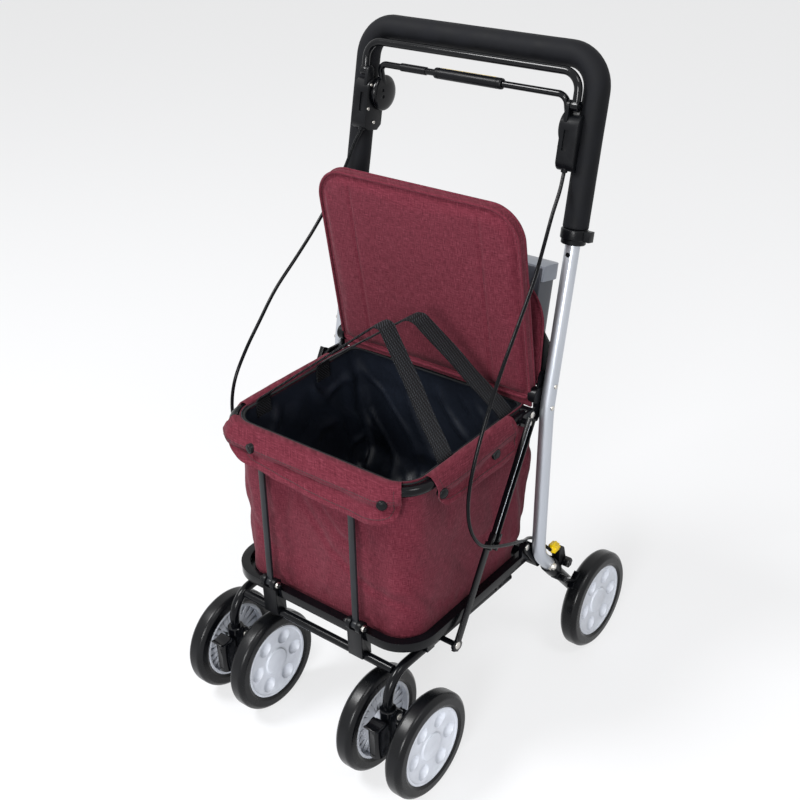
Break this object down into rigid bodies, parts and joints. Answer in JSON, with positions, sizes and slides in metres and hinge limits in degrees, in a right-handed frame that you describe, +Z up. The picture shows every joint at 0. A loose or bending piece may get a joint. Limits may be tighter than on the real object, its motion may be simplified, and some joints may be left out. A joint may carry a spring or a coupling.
{
  "type": "shopping rollator",
  "caption": "Folding shopping rollator with a cloth bag in a seat ring, padded seat lid, twin swivel casters and a height-adjustable braked handle.",
  "frame": {"origin": "on the ground at the middle of the footprint", "axes": "+Z up, -Y forward towards the casters, +X towards the user's left"},
  "size_m": [0.448, 0.559, 0.9365],
  "materials": {
    "silver_tube": "satin",
    "black_paint": "gloss",
    "grip_foam": "matt",
    "black_plastic": "fine grain",
    "yellow_plastic": "gloss",
    "zinc_steel": "satin",
    "tyre": "satin",
    "grey_hub": "satin",
    "bag_cloth": "matt weave",
    "webbing": "woven",
    "caddy_plastic": "fine grain",
    "caddy_lid_plastic": "satin"
  },
  "bodies": {
    "rear_frame": {"rear_tube_left": "silver_tube", "rear_tube_right": "silver_tube", "hinge_frame": "black_paint", "base_hinge_frame": "black_paint", "back_board": "black_plastic", "back_panel": "bag_cloth", "caddy": "caddy_plastic", "wheel_socket_left": "black_plastic", "wheel_socket_right": "black_plastic", "brake_adjuster_left": "yellow_plastic", "brake_adjuster_right": "yellow_plastic", "brake_cable_left": "black_plastic", "brake_cable_right": "black_plastic"},
    "handle": {"handle_tube": "black_paint", "handle_foam": "grip_foam", "handle_collar_left": "black_plastic", "handle_collar_right": "black_plastic", "brake_housing_left": "black_plastic", "brake_housing_right": "black_plastic"},
    "brake_bar": {"brake_bar": "black_paint"},
    "parking_bar": {"parking_bar": "black_plastic", "parking_sleeve": "black_plastic"},
    "seat_lid": {"seat_lid": "bag_cloth"},
    "caddy_lid": {"caddy_lid": "caddy_lid_plastic"},
    "base": {"base_tube_left": "black_paint", "base_tube_right": "black_paint", "front_crossbar": "black_paint", "brace_rod": "black_paint", "tray": "black_plastic", "bar_clamp_left": "black_plastic", "bar_clamp_right": "black_plastic"},
    "seat_ring": {"seat_ring": "black_paint", "bag": "bag_cloth", "carry_strap_front": "webbing", "carry_strap_rear": "webbing"},
    "front_bars": {"front_bar_left": "black_paint", "front_bar_right": "black_paint"},
    "brace_channels": {"brace_channel_left": "black_paint", "brace_channel_right": "black_paint"},
    "brace_bars": {"brace_bar_left": "black_paint", "brace_bar_right": "black_paint"},
    "brake_shoe_left": {"brake_shoe_left": "zinc_steel"},
    "rear_wheel_left": {"rear_wheel_left_tyre": "tyre", "rear_wheel_left_hub": "grey_hub"},
    "caster_left": {"caster_fork_left": "black_plastic"},
    "caster_lock_left": {"caster_lock_left": "black_plastic"},
    "caster_left_outer_wheel": {"caster_left_outer_tyre": "tyre", "caster_left_outer_hub": "grey_hub"},
    "caster_left_inner_wheel": {"caster_left_inner_tyre": "tyre", "caster_left_inner_hub": "grey_hub"},
    "brake_shoe_right": {"brake_shoe_right": "zinc_steel"},
    "rear_wheel_right": {"rear_wheel_right_tyre": "tyre", "rear_wheel_right_hub": "grey_hub"},
    "caster_right": {"caster_fork_right": "black_plastic"},
    "caster_lock_right": {"caster_lock_right": "black_plastic"},
    "caster_right_outer_wheel": {"caster_right_outer_tyre": "tyre", "caster_right_outer_hub": "grey_hub"},
    "caster_right_inner_wheel": {"caster_right_inner_tyre": "tyre", "caster_right_inner_hub": "grey_hub"}
  },
  "joints": [
    {"name": "fold", "type": "hinge", "parent": "rear_frame", "child": "base", "pos_m": [0, 0.064, 0.243], "axis": [-1, 0, 0], "range_deg": [0, 57], "deforming": ["bag", "carry_strap_front", "carry_strap_rear", "brake_cable_left", "brake_cable_right"]},
    {"name": "seat_ring_fold", "type": "hinge", "parent": "rear_frame", "child": "seat_ring", "pos_m": [0, 0.07, 0.462], "axis": [-1, 0, 0], "range_deg": [0, 57]},
    {"name": "front_bars_fold", "type": "hinge", "parent": "base", "child": "front_bars", "pos_m": [0, -0.208, 0.236], "axis": [-1, 0, 0], "range_deg": [-57, 0]},
    {"name": "brace_channel_fold", "type": "hinge", "parent": "rear_frame", "child": "brace_channels", "pos_m": [0, 0.048, 0.463], "axis": [-1, 0, 0], "range_deg": [0, 22]},
    {"name": "brace_bar_fold", "type": "hinge", "parent": "base", "child": "brace_bars", "pos_m": [0, -0.117, 0.188], "axis": [-1, 0, 0], "range_deg": [-35.5, 0]},
    {"name": "handle_height", "type": "slide", "parent": "rear_frame", "child": "handle", "axis": [0, 0.2289, 0.9734], "range_m": [-0.025, 0.075], "deforming": ["brake_cable_left", "brake_cable_right"]},
    {"name": "brake_bar_squeeze", "type": "hinge", "parent": "handle", "child": "brake_bar", "pos_m": [0, 0.16053, 0.86526], "axis": [-1, 0, 0], "range_deg": [0, 9], "stiffness_Nm_per_rad": 1.5, "springref_deg": -5.73},
    {"name": "parking_bar_swing", "type": "hinge", "parent": "handle", "child": "parking_bar", "pos_m": [0, 0.17725, 0.83153], "axis": [1, 0, 0], "range_deg": [0, 30]},
    {"name": "seat_lid_swing", "type": "hinge", "parent": "rear_frame", "child": "seat_lid", "pos_m": [0, 0.082, 0.487], "axis": [-1, 0, 0], "range_deg": [-82.4, 4], "deforming": ["carry_strap_front", "carry_strap_rear"]},
    {"name": "caddy_lid_swing", "type": "hinge", "parent": "rear_frame", "child": "caddy_lid", "pos_m": [0, 0.13823, 0.64552], "axis": [1, 0, 0], "range_deg": [0, 75]},
    {"name": "brake_shoe_left_press", "type": "hinge", "parent": "rear_frame", "child": "brake_shoe_left", "pos_m": [0.199, 0.118, 0.166], "axis": [-1, 0, 0], "range_deg": [0, 5]},
    {"name": "rear_wheel_left_spin", "type": "hinge", "parent": "rear_frame", "child": "rear_wheel_left", "pos_m": [0.21, 0.2015, 0.078], "axis": [1, 0, 0], "continuous": true},
    {"name": "caster_left_swivel", "type": "hinge", "parent": "base", "child": "caster_left", "pos_m": [0.145, -0.2265, 0.12], "axis": [0, 0, 1], "continuous": true},
    {"name": "caster_lock_left_tip", "type": "hinge", "parent": "caster_left", "child": "caster_lock_left", "pos_m": [0.145, -0.2411, 0.1173], "axis": [-1, 0, 0], "range_deg": [0, 18]},
    {"name": "caster_left_outer_spin", "type": "hinge", "parent": "caster_left", "child": "caster_left_outer_wheel", "pos_m": [0.188, -0.2015, 0.078], "axis": [1, 0, 0], "continuous": true},
    {"name": "caster_left_inner_spin", "type": "hinge", "parent": "caster_left", "child": "caster_left_inner_wheel", "pos_m": [0.102, -0.2015, 0.078], "axis": [1, 0, 0], "continuous": true},
    {"name": "brake_shoe_right_press", "type": "hinge", "parent": "rear_frame", "child": "brake_shoe_right", "pos_m": [-0.199, 0.118, 0.166], "axis": [-1, 0, 0], "range_deg": [0, 5]},
    {"name": "rear_wheel_right_spin", "type": "hinge", "parent": "rear_frame", "child": "rear_wheel_right", "pos_m": [-0.21, 0.2015, 0.078], "axis": [1, 0, 0], "continuous": true},
    {"name": "caster_right_swivel", "type": "hinge", "parent": "base", "child": "caster_right", "pos_m": [-0.145, -0.2265, 0.12], "axis": [0, 0, 1], "continuous": true},
    {"name": "caster_lock_right_tip", "type": "hinge", "parent": "caster_right", "child": "caster_lock_right", "pos_m": [-0.145, -0.2411, 0.1173], "axis": [-1, 0, 0], "range_deg": [0, 18]},
    {"name": "caster_right_outer_spin", "type": "hinge", "parent": "caster_right", "child": "caster_right_outer_wheel", "pos_m": [-0.188, -0.2015, 0.078], "axis": [1, 0, 0], "continuous": true},
    {"name": "caster_right_inner_spin", "type": "hinge", "parent": "caster_right", "child": "caster_right_inner_wheel", "pos_m": [-0.102, -0.2015, 0.078], "axis": [1, 0, 0], "continuous": true}
  ],
  "couplings": [
    {"joint": "seat_ring_fold", "follows": "fold", "ratio": 1},
    {"joint": "front_bars_fold", "follows": "fold", "ratio": -1},
    {"joint": "brace_channel_fold", "follows": "fold", "ratio": 0.381},
    {"joint": "brace_bar_fold", "follows": "fold", "ratio": -0.619},
    {"joint": "brake_shoe_left_press", "follows": "brake_bar_squeeze", "ratio": 0.5},
    {"joint": "brake_shoe_right_press", "follows": "brake_bar_squeeze", "ratio": 0.5}
  ]
}
